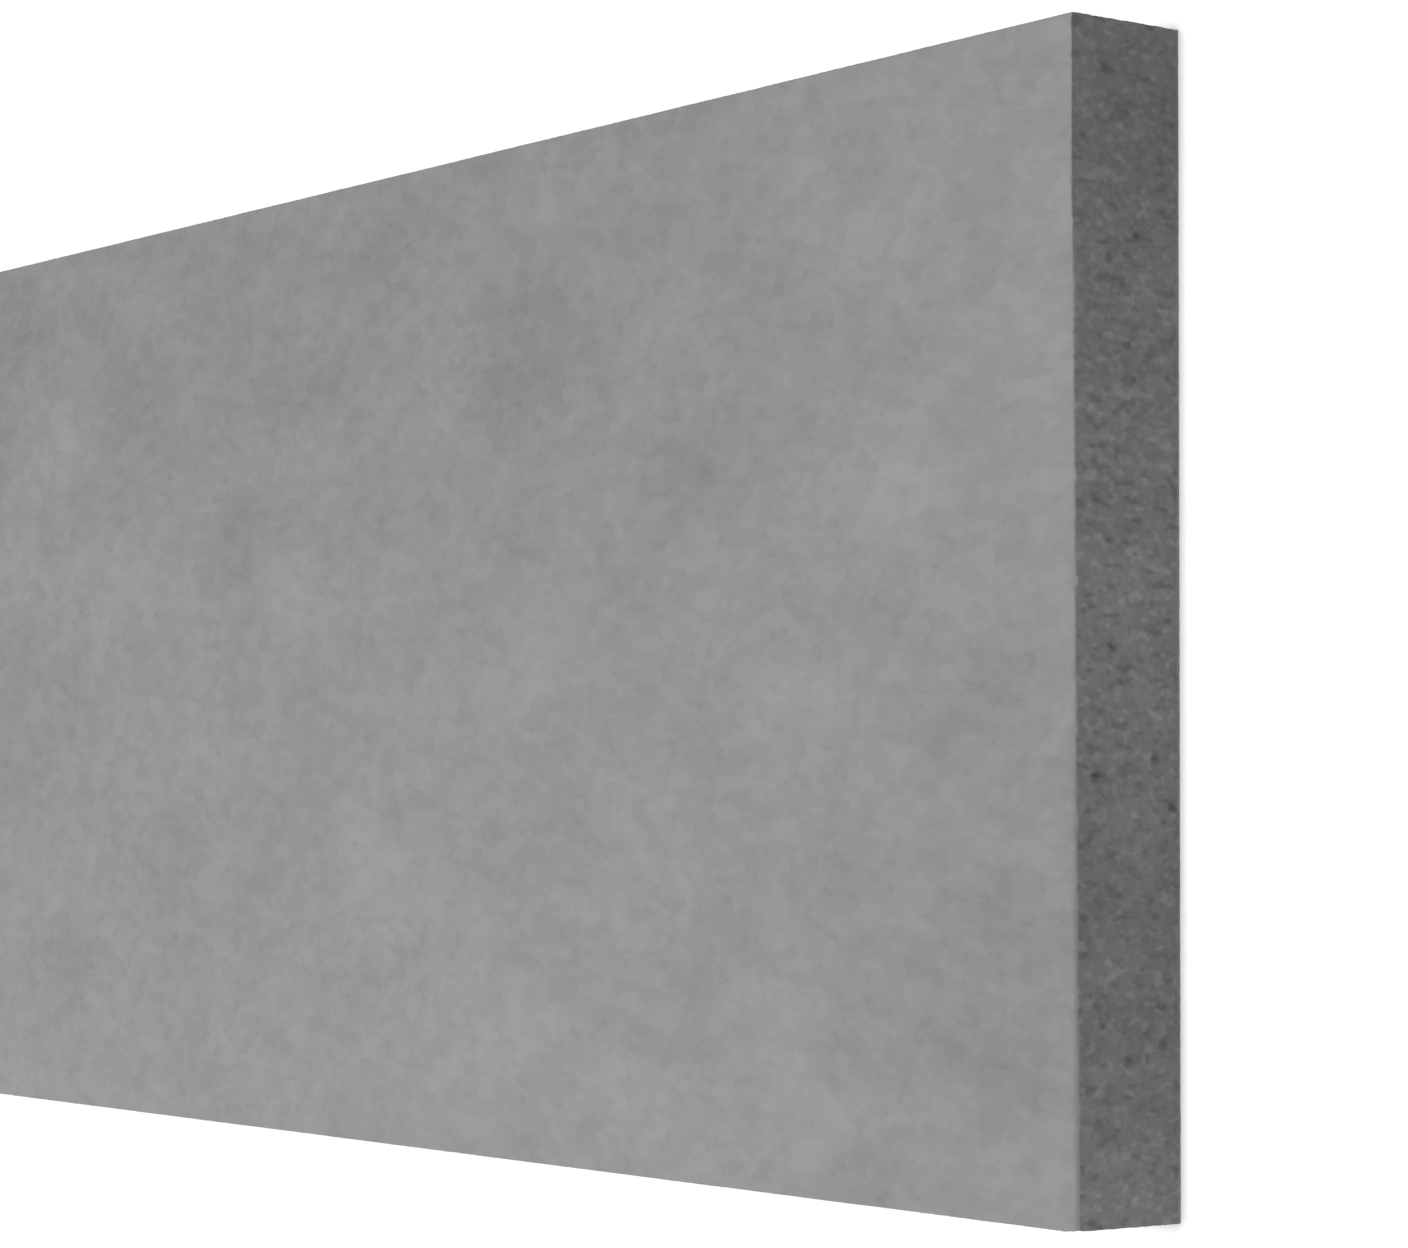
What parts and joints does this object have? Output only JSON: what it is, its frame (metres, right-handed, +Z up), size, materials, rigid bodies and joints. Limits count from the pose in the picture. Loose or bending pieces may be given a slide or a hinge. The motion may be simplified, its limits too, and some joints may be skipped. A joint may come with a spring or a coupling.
{
  "type": "plinth insulation board",
  "caption": "Flat rectangular rigid foam board with square butt edges, bonded to the outside of a building's plinth to insulate it.",
  "frame": {"origin": "middle of the broad face that the board lies on", "axes": "+X along the board's length, +Y across its width, +Z up through its thickness, out of the broad face that the picture shows; the end that the picture shows is at +X"},
  "size_m": [1, 0.5, 0.06],
  "materials": {
    "foam": "matt rigid foam: neutral grey, softly clouded broad faces and darker, fine-grained cut edges"
  },
  "bodies": {
    "root": {"insulation_board": "foam"}
  },
  "joints": []
}
